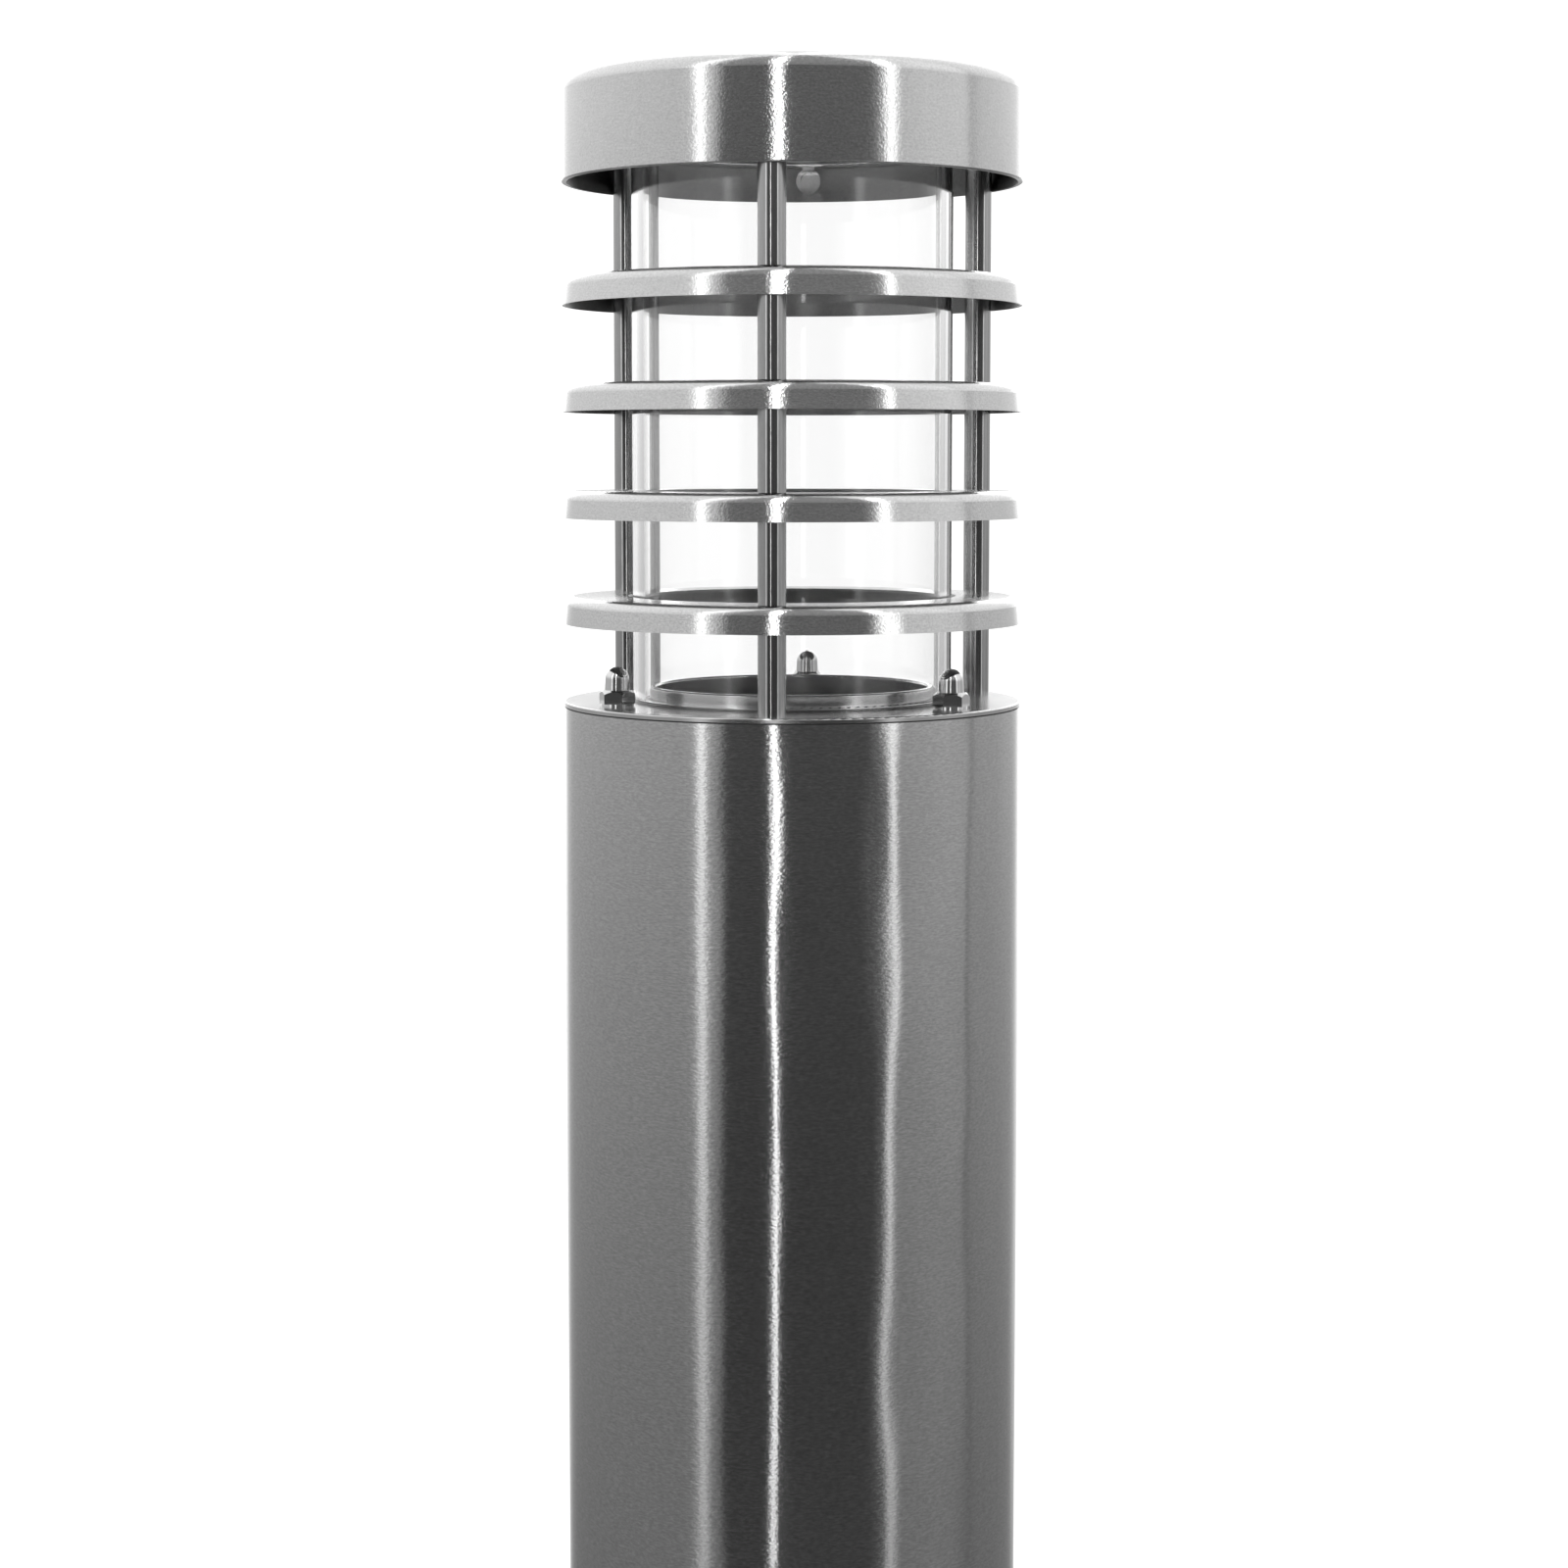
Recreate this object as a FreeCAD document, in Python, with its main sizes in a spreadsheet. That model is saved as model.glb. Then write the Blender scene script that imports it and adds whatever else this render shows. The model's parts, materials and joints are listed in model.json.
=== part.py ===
import FreeCAD, Part
import Sketcher
import math
import os
import re

# A bollard light: a round steel post on a bolted flange, carrying a louvred head that lifts off
# once its three cap nuts are undone. Millimetres, +Z up, origin at the centre of the flange's
# underside. The front tie rod stands towards -Y.

SIZES = {
    # whole
    "total_height": 650,
    "post_diameter": 101.6,
    "post_wall": 1.5,
    "head_height": 136.5,
    # foot
    "flange_diameter": 150,
    "flange_sheet": 5,
    "flange_round": 1.2,
    "anchor_circle": 126,
    "anchor_hole": 9,
    "cable_hole": 30,
    "cable_bore": 10,
    "grommet_lip": 3,
    "grommet_lip_height": 2,
    "grommet_neck_wall": 2,
    "grommet_neck_height": 9,
    "spigot_wall": 3,
    "spigot_height": 36,
    "post_screw_height": 22,
    "post_screw_thread": 5,
    "post_head_radius": 4.75,
    "post_head_height": 2.7,
    "recess_across_flats": 3,
    "recess_depth": 1.5,
    "fit_gap": 0.1,
    # M4 screws
    "m4_thread": 4,
    "m4_clearance": 4.2,
    "pan_head_radius": 3.5,
    "pan_head_height": 2.4,
    "slot_width": 0.8,
    "slot_depth": 1,
    # top of the post
    "support_sheet": 3,
    "support_hole": 76,
    "nut_circle": 84,
    "stud_diameter": 4,
    "stud_clearance": 4.6,
    "seam_gasket": 0.3,
    "seam_gasket_hole": 78,
    "seam_gasket_setback": 0.4,
    # head
    "plate_sheet": 1,
    "plate_edge_round": 0.3,
    "collar_diameter": 63.5,
    "collar_wall": 1.5,
    "collar_height": 3.4,
    "collar_round": 0.5,
    "diffuser_diameter": 71,
    "diffuser_wall": 2.5,
    "diffuser_round": 0.4,
    "diffuser_gasket": 0.5,
    "louvre_pitch": 23.3,
    "louvre_height": 6,
    "louvre_sheet": 0.6,
    "louvre_flare": 0.6,
    "louvre_hole": 73,
    "louvre_shoulder": 2.2,
    "louvre_inner_bend": 0.8,
    "rod_circle": 93.2,
    "rod_diameter": 4,
    "spacer_diameter": 6,
    "spacer_bore": 4.2,
    "spacer_chamfer": 0.8,
    "rod_nut_across_flats": 6.2,
    "rod_nut_height": 3.2,
    "rod_nut_overrun": 1.4,
    "cap_height": 22.5,
    "cap_sheet": 0.8,
    "cap_shoulder": 3.2,
    "cap_hem": 0.3,
    "cap_hem_height": 2.2,
    "cap_rim_round": 0.3,
    "top_plate_sheet": 1.2,
    "top_plate_rise": 7.7,
    "bush_diameter": 6,
    "bush_length": 5,
    "bush_rise": 4.4,
    "bush_stem": 3,
    "cap_head_radius": 3.6,
    "cap_head_height": 2.1,
    # M4 cap nut and washer
    "nut_across_flats": 7,
    "nut_hex_height": 3,
    "nut_chamfer": 0.6,
    "nut_height": 8,
    "nut_neck": 5.8,
    "nut_dome": 5.2,
    "nut_bore": 4.1,
    "nut_bore_depth": 5.8,
    "washer_diameter": 7,
    "washer_bore": 4.3,
    "washer_sheet": 0.5,
    "stud_end_gap": 0.6,
    # lampholder, for an E27 lamp
    "holder_top": 500,
    "holder_height": 50,
    "holder_diameter": 42,
    "holder_step": 3,
    "holder_step_height": 14,
    "holder_cone_height": 20,
    "holder_round": 2,
    "holder_foot_round": 1.5,
    "holder_screw_offset": 14,
    "holder_thread": 3.8,
    "lead_way_offset": 8,
    "lead_way": 3.2,
    "shell_diameter": 27.3,
    "shell_wall": 0.4,
    "shell_length": 24,
    "shell_gap": 0.4,
    "well_under_shell": 3,
    "contact_length": 16,
    "contact_width": 5,
    "contact_sheet": 0.6,
    "contact_button": 4.4,
    "contact_button_height": 1.5,
    "bracket_width": 26,
    "bracket_sheet": 1.5,
    "bracket_reach": 36,
    "bracket_ear": 10,
    "lead_hole": 5.2,
    # terminals
    "terminal_plate_width": 50,
    "terminal_plate_height": 70,
    "terminal_plate_offset": 30,
    "terminal_sheet": 1.5,
    "terminal_foot_width": 30,
    "terminal_foot_depth": 12,
    "terminal_screw_offset": 7,
    "block_width": 40,
    "block_depth": 14,
    "block_height": 18,
    "block_rise": 45,
    "way_pitch": 13,
    "wire_way": 3.2,
    "screw_well": 4.4,
    "screw_well_depth": 5,
    "clamp_screw": 3.8,
    "clamp_screw_length": 3.6,
    "clamp_screw_setback": 1.4,
    "earth_offset": 18,
    "earth_rise": 20,
    "earth_head": 8,
    "earth_head_height": 2.4,
    "earth_screw_length": 6,
    "lead_diameter": 2.4,
}

LOUVRES = 4
FRONT = -90.0
# Rods start at the front; cap nuts stand midway between them, each with its corners where it
# happened to come tight.
ROD_ANGLES = {"front": FRONT, "right": FRONT + 120, "left": FRONT + 240}
NUT_ANGLES = {"right": FRONT + 60, "rear": FRONT + 180, "left": FRONT + 300}
NUT_TURNS = {"right": 7, "rear": 30, "left": 54}

# Heights that many sub-parts share, as formulas of the sheet's aliases.
PLATE_TOP = "(total_height - head_height)"
PLATE_FOOT = f"({PLATE_TOP} - plate_sheet)"
TUBE_TOP = f"({PLATE_FOOT} - seam_gasket)"
POST_RADIUS = "(post_diameter / 2)"
TUBE_BORE = "(post_diameter / 2 - post_wall)"
CAP_RIM = "(total_height - cap_height)"
TOP_PLATE_FOOT = f"({CAP_RIM} + top_plate_rise)"
TOP_PLATE_TOP = f"({TOP_PLATE_FOOT} + top_plate_sheet)"
BUSH_OUTER_END = f"({POST_RADIUS} - cap_sheet - cap_hem - fit_gap)"
BUSH_INNER_END = f"({BUSH_OUTER_END} - bush_length)"
BUSH_LEVEL = f"({CAP_RIM} + bush_rise)"
HOLDER_FOOT = "(holder_top - holder_height)"
BRACKET_TOP = f"({TUBE_TOP} - support_sheet)"
WEB_FOOT = f"({HOLDER_FOOT} - bracket_sheet)"

ALIAS = re.compile(r"\b(" + "|".join(SIZES) + r")\b")

doc = FreeCAD.newDocument("BollardLight")
sheet = doc.addObject("Spreadsheet::Sheet", "Sizes")
for row, (alias, number) in enumerate(SIZES.items(), start=1):
    sheet.set(f"A{row}", alias)
    sheet.set(f"B{row}", str(number))
    sheet.setAlias(f"B{row}", alias)
doc.recompute()

sub_parts = []


def in_sheet(formula):
    """The formula with each alias read from the sheet."""
    return ALIAS.sub(r"Sizes.\g<0>", str(formula))


def value(formula):
    """The number that a formula of aliases comes to, in millimetres or degrees."""
    return float(sheet.evalExpression(in_sheet(formula)))


def bind(thing, **properties):
    """Bind each property of a document object to a formula; a double underscore stands for a dot."""
    for name, formula in properties.items():
        thing.setExpression(name.replace("__", "."), in_sheet(formula))
    return thing


def place(thing, x="0", y="0", z="0"):
    """Bind a document object's position to formulas."""
    return bind(thing, Placement__Base__x=x, Placement__Base__y=y, Placement__Base__z=z)


def turned(thing, axis, angle):
    """Turn a document object about an axis through its own origin, keeping its position's formulas."""
    thing.Placement.Rotation = FreeCAD.Rotation(FreeCAD.Vector(*axis), angle)
    return thing


def around(circle, angle):
    """Formulas of x and y for a point on a circle of the given diameter."""
    return f"({circle}) / 2 * cos({angle} deg)", f"({circle}) / 2 * sin({angle} deg)"


def sub_part(thing, name):
    """Name a finished document object as a sub-part, to be written to its own file."""
    thing.Label = name
    sub_parts.append(thing)
    return thing


def cylinder(name, radius, height, x="0", y="0", z="0"):
    """A plain upright cylinder."""
    solid = bind(doc.addObject("Part::Cylinder", name), Radius=radius, Height=height)
    return place(solid, x, y, z)


def cone(name, foot_radius, top_radius, height, x="0", y="0", z="0"):
    """An upright cone, cut off level at its top."""
    solid = bind(
        doc.addObject("Part::Cone", name), Radius1=foot_radius, Radius2=top_radius, Height=height,
    )
    return place(solid, x, y, z)


def box(name, length, width, height, x="0", y="0", z="0"):
    """A box, placed by its lowest corner."""
    solid = bind(doc.addObject("Part::Box", name), Length=length, Width=width, Height=height)
    return place(solid, x, y, z)


def cut(name, base, *tools):
    """The base with every tool taken away."""
    result = base
    for number, tool in enumerate(tools, start=1):
        last = number == len(tools)
        step = doc.addObject("Part::Cut", name if last else f"{name}_cut_{number}")
        step.Base = result
        step.Tool = tool
        result = step
    return result


def fuse(name, *solids):
    """Several touching solids as one."""
    result = doc.addObject("Part::MultiFuse", name)
    result.Shapes = list(solids)
    return result


def group(name, *solids):
    """Several separate solids in one sub-part."""
    result = doc.addObject("Part::Compound", name)
    result.Links = list(solids)
    return result


def tube(name, outer, inner, height, z="0", x="0", y="0"):
    """An upright tube, by its outer and inner radius."""
    wall = cylinder(name + "_outside", outer, height, x, y, z)
    bore = cylinder(name + "_bore", inner, f"({height}) + 2", x, y, f"({z}) - 1")
    return cut(name, wall, bore)


def origin_plane(body, role):
    """One of a body's own origin planes."""
    return next(f for f in body.Origin.OriginFeatures if f.Role == role)


def new_sketch(body, name, role):
    """A sketch on one of a body's origin planes."""
    sketch = body.newObject("Sketcher::SketchObject", name)
    sketch.AttachmentSupport = [(origin_plane(body, role), "")]
    sketch.MapMode = "FlatFace"
    return sketch


def pin_coordinate(sketch, corner, direction, formula):
    """Hold one coordinate of a line's start at a formula's value from the sketch's origin."""
    axis_line = {"DistanceX": -2, "DistanceY": -1}[direction]
    if value(formula) == 0:
        sketch.addConstraint(Sketcher.Constraint("PointOnObject", corner, 1, axis_line))
        return
    distance = value(formula)
    if distance > 0:
        constraint = Sketcher.Constraint(direction, -1, 1, corner, 1, distance)
        bound = formula
    else:
        constraint = Sketcher.Constraint(direction, corner, 1, -1, 1, -distance)
        bound = f"-({formula})"
    number = sketch.addConstraint(constraint)
    label = f"{direction}_{corner}"
    sketch.renameConstraint(number, label)
    sketch.setExpression(f"Constraints.{label}", in_sheet(bound))


def revolved(name, outline, rounds=()):
    """A body turned about Z from a closed outline of (radius, height) formulas.

    Each round is (radius of the edge, height of the edge, round's radius), all formulas."""
    body = doc.addObject("PartDesign::Body", name)
    sketch = new_sketch(body, name + "_outline", "XZ_Plane")
    corners = [FreeCAD.Vector(value(r), value(height), 0) for r, height in outline]
    count = len(corners)
    for number in range(count):
        sketch.addGeometry(Part.LineSegment(corners[number], corners[(number + 1) % count]))
    for number in range(count):
        following = (number + 1) % count
        sketch.addConstraint(Sketcher.Constraint("Coincident", number, 2, following, 1))
    for number, (r, height) in enumerate(outline):
        pin_coordinate(sketch, number, "DistanceX", r)
        pin_coordinate(sketch, number, "DistanceY", height)
    turn = body.newObject("PartDesign::Revolution", name + "_turn")
    turn.Profile = sketch
    turn.ReferenceAxis = (sketch, ["V_Axis"])
    turn.Angle = 360
    doc.recompute()
    for number, (r, height, size) in enumerate(rounds, start=1):
        round_edge(body, f"{name}_round_{number}", r, height, size)
    return body


def round_edge(body, name, r, height, size):
    """Round the circular edge of a turned body that lies at a radius and a height."""
    for number, edge in enumerate(body.Shape.Edges, start=1):
        curve = edge.Curve
        if not isinstance(curve, Part.Circle):
            continue
        level = curve.Center.z - body.Placement.Base.z
        if abs(curve.Radius - value(r)) < 1e-4 and abs(level - value(height)) < 1e-4:
            base = body.Tip
            fillet = body.newObject("PartDesign::Fillet", name)
            fillet.Base = (base, [f"Edge{number}"])
            bind(fillet, Radius=size)
            body.Tip = fillet
            doc.recompute()
            return
    raise RuntimeError(f"{name}: no edge at radius {value(r)}, height {value(height)}")


def drill(body, name, circle, diameter, first_angle, count=3):
    """Drill a ring of upright holes through a body, spaced evenly from the first angle."""
    before = body.Shape.Volume
    sketch = new_sketch(body, name + "_circle", "XY_Plane")
    x, y = around(circle, first_angle)
    centre = FreeCAD.Vector(value(x), value(y), 0)
    sketch.addGeometry(Part.Circle(centre, FreeCAD.Vector(0, 0, 1), value(diameter) / 2))
    size = sketch.addConstraint(Sketcher.Constraint("Diameter", 0, value(diameter)))
    sketch.renameConstraint(size, "hole")
    sketch.setExpression("Constraints.hole", in_sheet(diameter))
    for direction, formula, axis_line in (("DistanceX", x, -2), ("DistanceY", y, -1)):
        distance = value(formula)
        if abs(distance) < 1e-6:
            sketch.addConstraint(Sketcher.Constraint("PointOnObject", 0, 3, axis_line))
            continue
        ends = (-1, 1, 0, 3) if distance > 0 else (0, 3, -1, 1)
        number = sketch.addConstraint(Sketcher.Constraint(direction, *ends, abs(distance)))
        sketch.renameConstraint(number, direction)
        sketch.setExpression(f"Constraints.{direction}", in_sheet(f"abs({formula})"))
    pocket = body.newObject("PartDesign::Pocket", name)
    pocket.Profile = sketch
    pocket.Type = "ThroughAll"
    pocket.SideType = "Symmetric"
    doc.recompute()
    pattern = body.newObject("PartDesign::PolarPattern", name + "_pattern")
    pattern.Originals = [pocket]
    pattern.Axis = (sketch, ["N_Axis"])
    pattern.Angle = 360
    pattern.Occurrences = count
    body.Tip = pattern
    doc.recompute()
    if body.Shape.Volume >= before - 0.01:
        raise RuntimeError(f"{name}: the holes cut nothing")


def hexagon(name, across_flats, height, x="0", y="0", z="0", turn=0.0):
    """A hexagonal prism by its width across flats."""
    prism = doc.addObject("Part::Prism", name)
    prism.Polygon = 6
    bind(prism, Circumradius=f"({across_flats}) / 2 / cos(30 deg)", Height=height)
    place(prism, x, y, z)
    return turned(prism, (0, 0, 1), turn)


def facing(solid, angle):
    """Lay an upright solid down so that its length runs outwards, level, at an angle about Z."""
    level = FreeCAD.Rotation(FreeCAD.Vector(0, 1, 0), 90)
    solid.Placement.Rotation = FreeCAD.Rotation(FreeCAD.Vector(0, 0, 1), angle) * level
    return solid


def radial(name, radius, start, length, angle, z):
    """A level cylinder that starts at a distance from the axis and runs outwards."""
    x, y = around(f"2 * ({start})", angle)
    return facing(cylinder(name, radius, length, x, y, z), angle)


# ---------------------------------------------------------------- the foot


def make_base_flange():
    """The round foot plate, with a rounded rim, the cable hole and three anchor holes."""
    rim = "flange_diameter / 2"
    outline = [
        ("cable_hole / 2", "0"),
        (rim, "0"),
        (rim, "flange_sheet"),
        ("cable_hole / 2", "flange_sheet"),
    ]
    body = revolved("flange_disc", outline, rounds=[(rim, "flange_sheet", "flange_round")])
    drill(body, "anchor_holes", "anchor_circle", "anchor_hole", FRONT + 60)
    tapped = cylinder(
        "flange_tapping", "m4_thread / 2", "flange_sheet",
        "0", "terminal_plate_offset + terminal_screw_offset", "1",
    )
    sub_part(cut("base_flange", body, tapped), "base_flange")


def make_base_spigot():
    """The ring welded to the flange that the post's foot fits over."""
    outer = f"{TUBE_BORE} - fit_gap"
    ring = tube("spigot_ring", outer, f"{outer} - spigot_wall", "spigot_height", "flange_sheet")
    holes = []
    for name, angle in ROD_ANGLES.items():
        hole = radial(
            f"spigot_hole_{name}", "post_screw_thread / 2", "40", "20", angle,
            "flange_sheet + post_screw_height",
        )
        holes.append(hole)
    sub_part(cut("base_spigot", ring, *holes), "base_spigot")


def make_post_tube():
    """The post, with three clearance holes near its foot."""
    height = f"{TUBE_TOP} - flange_sheet"
    wall = tube("post_wall_tube", POST_RADIUS, TUBE_BORE, height, "flange_sheet")
    holes = []
    for name, angle in ROD_ANGLES.items():
        hole = radial(
            f"post_hole_{name}", "post_screw_thread / 2 + 2 * fit_gap", "40", "20", angle,
            "flange_sheet + post_screw_height",
        )
        holes.append(hole)
    sub_part(cut("post_tube", wall, *holes), "post_tube")


def make_post_screws():
    """Three button-head screws that hold the post to the spigot."""
    screws = []
    for name, angle in ROD_ANGLES.items():
        level = "flange_sheet + post_screw_height"
        tip = f"{TUBE_BORE} - fit_gap - spigot_wall - 1"
        shank = radial(
            f"post_shank_{name}", "post_screw_thread / 2", tip, f"{POST_RADIUS} - ({tip}) + 0.5",
            angle, level,
        )
        head = button_head(
            f"post_head_{name}", "post_head_radius", "post_head_height", POST_RADIUS, angle, level,
        )
        screws.append(fuse(f"post_screw_{name}", shank, head))
    sub_part(group("post_screws", *screws), "post_screws")


def button_head(name, radius, height, start, angle, z):
    """A domed screw head with a hexagon recess, seated at a distance from the axis."""
    dome_radius = f"(({radius}) ^ 2 + ({height}) ^ 2) / 2 / ({height})"
    ball_name = name + "_ball"
    ball = bind(doc.addObject("Part::Sphere", ball_name), Radius=dome_radius)
    x, y = around(f"2 * (({start}) + ({height}) - {dome_radius})", angle)
    place(ball, x, y, z)
    disc = radial(name + "_disc", radius, start, height, angle, z)
    dome = doc.addObject("Part::Common", name + "_dome")
    dome.Base = disc
    dome.Tool = ball
    x, y = around(f"2 * (({start}) + ({height}) - recess_depth)", angle)
    recess = hexagon(name + "_recess", "recess_across_flats", "2 * recess_depth", x, y, z)
    facing(recess, angle)
    return cut(name, dome, recess)


def make_cable_grommet():
    """The rubber grommet in the flange's cable hole, tapering up to its neck."""
    bore = "cable_bore / 2"
    hole = "cable_hole / 2"
    neck_top = "flange_sheet + grommet_neck_height"
    outline = [
        (bore, "0.5"),
        (hole, "0.5"),
        (hole, "flange_sheet"),
        (f"{hole} + grommet_lip", "flange_sheet"),
        (f"{hole} + grommet_lip", "flange_sheet + grommet_lip_height"),
        (f"{bore} + grommet_neck_wall", neck_top),
        (bore, neck_top),
    ]
    sub_part(revolved("cable_grommet", outline), "cable_grommet")


# ---------------------------------------------------------------- inside the post


def make_terminal_bracket():
    """The upright plate that carries the terminal block, with its foot on the flange."""
    plate = box(
        "terminal_plate", "terminal_plate_width", "terminal_sheet", "terminal_plate_height",
        "-terminal_plate_width / 2", "terminal_plate_offset", "flange_sheet",
    )
    foot = box(
        "terminal_foot", "terminal_foot_width", "terminal_foot_depth", "terminal_sheet",
        "-terminal_foot_width / 2", "terminal_plate_offset", "flange_sheet",
    )
    hole = cylinder(
        "terminal_foot_hole", "m4_clearance / 2", "10",
        "0", "terminal_plate_offset + terminal_screw_offset", "0",
    )
    earth_hole = cylinder(
        "earth_hole", "m4_thread / 2", "10",
        "earth_offset", "terminal_plate_offset - 4", "flange_sheet + earth_rise",
    )
    turned(earth_hole, (1, 0, 0), -90)
    bracket = cut("terminal_bracket", fuse("terminal_angle", plate, foot), hole, earth_hole)
    sub_part(bracket, "terminal_bracket")


def pan_screw(name, thread, length, x, y, z, down=True):
    """An upright pan-head screw with a slot; z is where its head seats."""
    shank_foot = f"({z}) - ({length})" if down else z
    head_foot = z if down else f"({z}) - pan_head_height"
    slot_foot = f"({z}) + pan_head_height - slot_depth" if down else head_foot
    shank = cylinder(name + "_shank", f"({thread}) / 2", length, x, y, shank_foot)
    head = cylinder(name + "_head", "pan_head_radius", "pan_head_height", x, y, head_foot)
    slot = box(
        name + "_slot", "2 * pan_head_radius", "slot_width", "slot_depth",
        f"({x}) - pan_head_radius", f"({y}) - slot_width / 2", slot_foot,
    )
    return cut(name, fuse(name + "_blank", shank, head), slot)


def make_terminal_bracket_screw():
    """The screw that holds the terminal bracket's foot to the flange."""
    screw = pan_screw(
        "terminal_bracket_screw", "m4_thread", "flange_sheet + 0.5",
        "0", "terminal_plate_offset + terminal_screw_offset", "flange_sheet + terminal_sheet",
    )
    sub_part(screw, "terminal_bracket_screw")


def make_terminal_block():
    """A three-way terminal block with wire ways top and bottom and screw wells in front."""
    front = "terminal_plate_offset - block_depth"
    base = "flange_sheet + block_rise"
    block = box(
        "terminal_body", "block_width", "block_depth", "block_height",
        "-block_width / 2", front, base,
    )
    tools = []
    for way in (-1, 0, 1):
        x = f"{way} * way_pitch"
        tag = f"{way + 2}"
        way_hole = cylinder(
            f"wire_way_{tag}", "wire_way / 2", "block_height + 2",
            x, f"{front} + block_depth / 2", f"{base} - 1",
        )
        tools.append(way_hole)
        for level in (1, 3):
            z = f"{base} + block_height * {level} / 4"
            well = cylinder(
                f"screw_well_{tag}_{level}", "screw_well / 2", "screw_well_depth", x, front, z,
            )
            tools.append(turned(well, (1, 0, 0), -90))
    sub_part(cut("terminal_block", block, *tools), "terminal_block")


def make_terminal_screws():
    """Six clamping screws in the block's wells."""
    front = "terminal_plate_offset - block_depth"
    base = "flange_sheet + block_rise"
    screws = []
    for way in (-1, 0, 1):
        for level in (1, 3):
            screw = cylinder(
                f"clamp_screw_{way + 2}_{level}", "clamp_screw / 2", "clamp_screw_length",
                f"{way} * way_pitch", f"{front} + clamp_screw_setback",
                f"{base} + block_height * {level} / 4",
            )
            screws.append(turned(screw, (1, 0, 0), -90))
    sub_part(group("terminal_screws", *screws), "terminal_screws")


def make_earth_screw():
    """The earth screw in the terminal plate's face."""
    place_at = (
        "earth_offset", "terminal_plate_offset - earth_head_height", "flange_sheet + earth_rise",
    )
    shank = cylinder("earth_shank", "m4_thread / 2", "earth_screw_length", *place_at)
    head = cylinder("earth_head_disc", "earth_head / 2", "earth_head_height", *place_at)
    turned(shank, (1, 0, 0), -90)
    turned(head, (1, 0, 0), -90)
    sub_part(fuse("earth_screw", shank, head), "earth_screw")


def swept_lead(points, bend):
    """A round lead along straight runs joined by tangent arcs of one bend radius."""
    corners = [FreeCAD.Vector(*p) for p in points]
    edges = []
    start = corners[0]
    for before, corner, after in zip(corners, corners[1:], corners[2:]):
        incoming = (before - corner).normalize()
        outgoing = (after - corner).normalize()
        half_turn = (math.pi - incoming.getAngle(outgoing)) / 2
        setback = bend * math.tan(half_turn)
        middle_gap = bend / math.cos(half_turn) - bend
        arc_start = corner + incoming * setback
        arc_end = corner + outgoing * setback
        arc_middle = corner + (incoming + outgoing).normalize() * middle_gap
        edges.append(Part.LineSegment(start, arc_start).toShape())
        edges.append(Part.Arc(arc_start, arc_middle, arc_end).toShape())
        start = arc_end
    edges.append(Part.LineSegment(start, corners[-1]).toShape())
    path = Part.Wire(edges)
    direction = corners[1] - corners[0]
    radius = value("lead_diameter") / 2
    section = Part.Wire(Part.makeCircle(radius, corners[0], direction))
    solid = path.makePipeShell([section], True, True)
    expected = math.pi * radius ** 2 * path.Length
    if abs(solid.Volume - expected) > 0.01 * expected:
        raise RuntimeError("a lead's volume is not its section times its length")
    return solid


def make_leads():
    """Live and neutral leads from the block up to the lampholder; earth lead to its screw."""
    block_x = value("way_pitch")
    block_y = value("terminal_plate_offset - block_depth / 2")
    block_top = value("flange_sheet + block_rise + block_height")
    block_foot = value("flange_sheet + block_rise")
    holder = value(HOLDER_FOOT)
    way = value("lead_way_offset")
    for name, side in (("lead_live", -1), ("lead_neutral", 1)):
        points = [
            (side * block_x, block_y, block_top - 4),
            (side * block_x, block_y, holder - 60),
            (side * way, way, holder - 20),
            (side * way, way, holder + 6),
        ]
        lead = doc.addObject("Part::Feature", name)
        lead.Shape = swept_lead(points, 30)
        sub_part(lead, name)
    earth_x = value("earth_offset")
    earth_y = value("terminal_plate_offset - earth_head_height - lead_diameter / 2")
    earth_points = [
        (block_x, block_y, block_foot + 4),
        (block_x, block_y, block_foot - 7),
        (earth_x, earth_y, block_foot - 14),
        (earth_x, earth_y, value("flange_sheet + earth_rise")),
    ]
    lead = doc.addObject("Part::Feature", "lead_earth")
    lead.Shape = swept_lead(earth_points, 5)
    sub_part(lead, "lead_earth")


def make_support_ring():
    """The ring welded inside the post's top that carries the head's studs."""
    outline = [
        ("support_hole / 2", "0"),
        (TUBE_BORE, "0"),
        (TUBE_BORE, "support_sheet"),
        ("support_hole / 2", "support_sheet"),
    ]
    body = place(revolved("support_ring", outline), z=BRACKET_TOP)
    drill(body, "stud_holes", "nut_circle", "stud_diameter", NUT_ANGLES["right"])
    drill(body, "bracket_holes", "nut_circle", "stud_diameter", 0, count=2)
    sub_part(body, "support_ring")


def make_head_studs():
    """Three studs, fixed in the support ring, that pass through the head's base plate."""
    top = f"{PLATE_TOP} + washer_sheet + nut_bore_depth - stud_end_gap"
    foot = f"{BRACKET_TOP} - 2"
    studs = []
    for name, angle in NUT_ANGLES.items():
        x, y = around("nut_circle", angle)
        stud = cylinder(f"stud_{name}", "stud_diameter / 2", f"{top} - ({foot})", x, y, foot)
        studs.append(stud)
    sub_part(group("head_studs", *studs), "head_studs")


def make_post_gasket():
    """The thin black gasket in the seam between post and head."""
    rim = f"{POST_RADIUS} - seam_gasket_setback"
    outline = [
        ("seam_gasket_hole / 2", "0"),
        (rim, "0"),
        (rim, "seam_gasket"),
        ("seam_gasket_hole / 2", "seam_gasket"),
    ]
    body = place(revolved("post_gasket", outline), z=TUBE_TOP)
    drill(body, "gasket_holes", "nut_circle", "stud_clearance", NUT_ANGLES["right"])
    sub_part(body, "post_gasket")


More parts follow.
